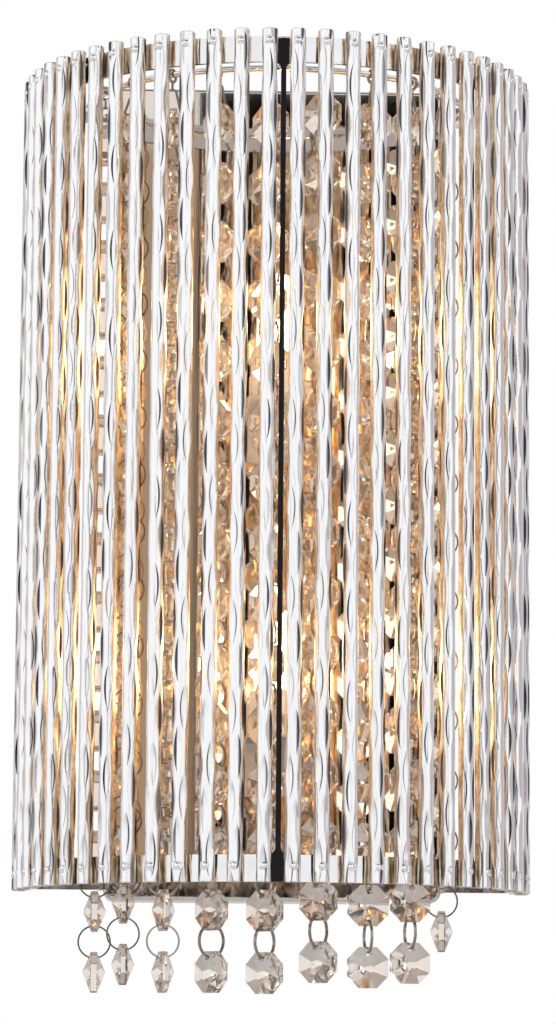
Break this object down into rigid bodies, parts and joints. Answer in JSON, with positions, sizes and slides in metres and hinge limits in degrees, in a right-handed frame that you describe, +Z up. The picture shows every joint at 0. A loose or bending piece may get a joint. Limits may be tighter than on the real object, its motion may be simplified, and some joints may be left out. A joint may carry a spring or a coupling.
{
  "type": "crystal wall sconce",
  "caption": "Half-drum wall light: polished metal rods on half-ring bands before a mirror backplate, with hanging strands of octagon crystals round capsule lamps.",
  "frame": {"origin": "on the wall plane, at the centre of the backplate's back and of the wall bar's screw slots", "axes": "+Z up, +X to the right seen from the front, +Y into the wall, so the front faces -Y"},
  "size_m": [0.2034, 0.1066, 0.3624],
  "materials": {
    "chrome": "mirror-bright plating with fine handling marks",
    "mirror_steel": "mirror-polished plate",
    "rod_aluminium": "polished, with diamond-cut flutes",
    "crystal": "clear cut lead-free crystal",
    "link_metal": "warm nickel plating",
    "zinc_steel": "zinc-plated",
    "earth_green": "green-passivated",
    "ceramic": "matt steatite",
    "lamp_glass": "clear quartz",
    "filament": "glowing wire",
    "grommet": "soft black",
    "lead_sleeve": "silicone sleeve",
    "terminal": "moulded nylon",
    "terminal_brass": "bare"
  },
  "bodies": {
    "root": {"wall_bracket": "zinc_steel", "side_screws": "chrome", "earth_screw": "earth_green", "backplate": "mirror_steel", "lead_grommets": "grommet", "terminal_block": "terminal", "terminal_screws": "terminal_brass", "top_band": "chrome", "bottom_band": "chrome", "front_strut": "chrome", "left_rods": "rod_aluminium", "front_rods": "rod_aluminium", "right_rods": "rod_aluminium", "top_rivets": "rod_aluminium", "bottom_rivets": "rod_aluminium", "side_arms": "chrome", "arm_screws": "chrome", "arm_nuts": "zinc_steel", "crystal_rail": "chrome", "upper_lamp_bracket": "zinc_steel", "lower_lamp_bracket": "zinc_steel", "bracket_screws": "chrome", "bracket_nuts": "zinc_steel", "socket_screws": "zinc_steel", "upper_lamp_socket": "ceramic", "lower_lamp_socket": "ceramic", "lamp_leads": "lead_sleeve"},
    "upper_lamp": {"upper_lamp_glass": "lamp_glass", "upper_lamp_pins": "zinc_steel", "upper_lamp_filament": "filament"},
    "lower_lamp": {"lower_lamp_glass": "lamp_glass", "lower_lamp_pins": "zinc_steel", "lower_lamp_filament": "filament"},
    "strand_1": {"strand_1_crystals": "crystal", "strand_1_links": "link_metal"},
    "pendant_1": {"pendant_1_crystal": "crystal"},
    "strand_2": {"strand_2_crystals": "crystal", "strand_2_links": "link_metal"},
    "pendant_2": {"pendant_2_crystal": "crystal"},
    "strand_3": {"strand_3_crystals": "crystal", "strand_3_links": "link_metal"},
    "pendant_3": {"pendant_3_crystal": "crystal"},
    "strand_4": {"strand_4_crystals": "crystal", "strand_4_links": "link_metal"},
    "pendant_4": {"pendant_4_crystal": "crystal"},
    "strand_5": {"strand_5_crystals": "crystal", "strand_5_links": "link_metal"},
    "pendant_5": {"pendant_5_crystal": "crystal"},
    "strand_6": {"strand_6_crystals": "crystal", "strand_6_links": "link_metal"},
    "pendant_6": {"pendant_6_crystal": "crystal"},
    "strand_7": {"strand_7_crystals": "crystal", "strand_7_links": "link_metal"},
    "pendant_7": {"pendant_7_crystal": "crystal"},
    "strand_8": {"strand_8_crystals": "crystal", "strand_8_links": "link_metal"},
    "pendant_8": {"pendant_8_crystal": "crystal"},
    "strand_9": {"strand_9_crystals": "crystal", "strand_9_links": "link_metal"},
    "pendant_9": {"pendant_9_crystal": "crystal"}
  },
  "joints": [
    {"name": "upper_lamp_pull", "type": "slide", "parent": "root", "child": "upper_lamp", "axis": [0, 0, 1], "range_m": [0, 0.014]},
    {"name": "lower_lamp_pull", "type": "slide", "parent": "root", "child": "lower_lamp", "axis": [0, 0, 1], "range_m": [0, 0.014]},
    {"name": "strand_1_swing", "type": "hinge", "parent": "root", "child": "strand_1", "pos_m": [-0.06831, -0.03832, 0.1555], "axis": [0.4384, -0.8988, 0], "range_deg": [-1.5, 1]},
    {"name": "pendant_1_swing", "type": "hinge", "parent": "strand_1", "child": "pendant_1", "pos_m": [-0.06831, -0.03832, -0.18385], "axis": [-1, 0, 0], "range_deg": [-20, 20]},
    {"name": "strand_2_swing", "type": "hinge", "parent": "root", "child": "strand_2", "pos_m": [-0.05718, -0.05506, 0.1555], "axis": [0.6587, -0.7524, 0], "range_deg": [-1.5, 1.8]},
    {"name": "pendant_2_swing", "type": "hinge", "parent": "strand_2", "child": "pendant_2", "pos_m": [-0.05718, -0.05506, -0.18115], "axis": [-0.9962, -0.0872, 0], "range_deg": [-20, 20]},
    {"name": "strand_3_swing", "type": "hinge", "parent": "root", "child": "strand_3", "pos_m": [-0.04206, -0.0683, 0.1555], "axis": [0.8329, -0.5534, 0], "range_deg": [-1.5, 1.8]},
    {"name": "pendant_3_swing", "type": "hinge", "parent": "strand_3", "child": "pendant_3", "pos_m": [-0.04206, -0.0683, -0.18415], "axis": [-0.9848, -0.1736, 0], "range_deg": [-20, 20]},
    {"name": "strand_4_swing", "type": "hinge", "parent": "root", "child": "strand_4", "pos_m": [-0.02399, -0.07711, 0.1555], "axis": [0.9489, -0.3156, 0], "range_deg": [-1.5, 1.8]},
    {"name": "pendant_4_swing", "type": "hinge", "parent": "strand_4", "child": "pendant_4", "pos_m": [-0.02399, -0.07711, -0.18415], "axis": [-0.7431, -0.6691, 0], "range_deg": [-20, 20]},
    {"name": "strand_5_swing", "type": "hinge", "parent": "root", "child": "strand_5", "pos_m": [-0.00424, -0.08088, 0.1555], "axis": [0.9984, -0.0558, 0], "range_deg": [-1.5, 1.8]},
    {"name": "pendant_5_swing", "type": "hinge", "parent": "strand_5", "child": "pendant_5", "pos_m": [-0.00424, -0.08088, -0.18445], "axis": [-0.6018, -0.7986, 0], "range_deg": [-20, 20]},
    {"name": "strand_6_swing", "type": "hinge", "parent": "root", "child": "strand_6", "pos_m": [0.0158, -0.07934, 0.1555], "axis": [0.9781, 0.2079, 0], "range_deg": [-1.5, 1.8]},
    {"name": "pendant_6_swing", "type": "hinge", "parent": "strand_6", "child": "pendant_6", "pos_m": [0.0158, -0.07934, -0.18025], "axis": [-0.5592, -0.829, 0], "range_deg": [-20, 20]},
    {"name": "strand_7_swing", "type": "hinge", "parent": "root", "child": "strand_7", "pos_m": [0.03474, -0.0726, 0.1555], "axis": [0.8894, 0.4571, 0], "range_deg": [-1.5, 1.8]},
    {"name": "pendant_7_swing", "type": "hinge", "parent": "strand_7", "child": "pendant_7", "pos_m": [0.03474, -0.0726, -0.18195], "axis": [0.1908, -0.9816, 0], "range_deg": [-20, 20]},
    {"name": "strand_8_swing", "type": "hinge", "parent": "root", "child": "strand_8", "pos_m": [0.05125, -0.06112, 0.1555], "axis": [0.7385, 0.6743, 0], "range_deg": [-1.5, 1.8]},
    {"name": "pendant_8_swing", "type": "hinge", "parent": "strand_8", "child": "pendant_8", "pos_m": [0.05125, -0.06112, -0.17995], "axis": [0.2756, -0.9613, 0], "range_deg": [-20, 20]},
    {"name": "strand_9_swing", "type": "hinge", "parent": "root", "child": "strand_9", "pos_m": [0.06417, -0.04572, 0.1555], "axis": [0.5358, 0.8443, 0], "range_deg": [-1.5, 1.8]},
    {"name": "pendant_9_swing", "type": "hinge", "parent": "strand_9", "child": "pendant_9", "pos_m": [0.06417, -0.04572, -0.16756], "axis": [0.9994, -0.0349, 0], "range_deg": [-20, 20]}
  ]
}
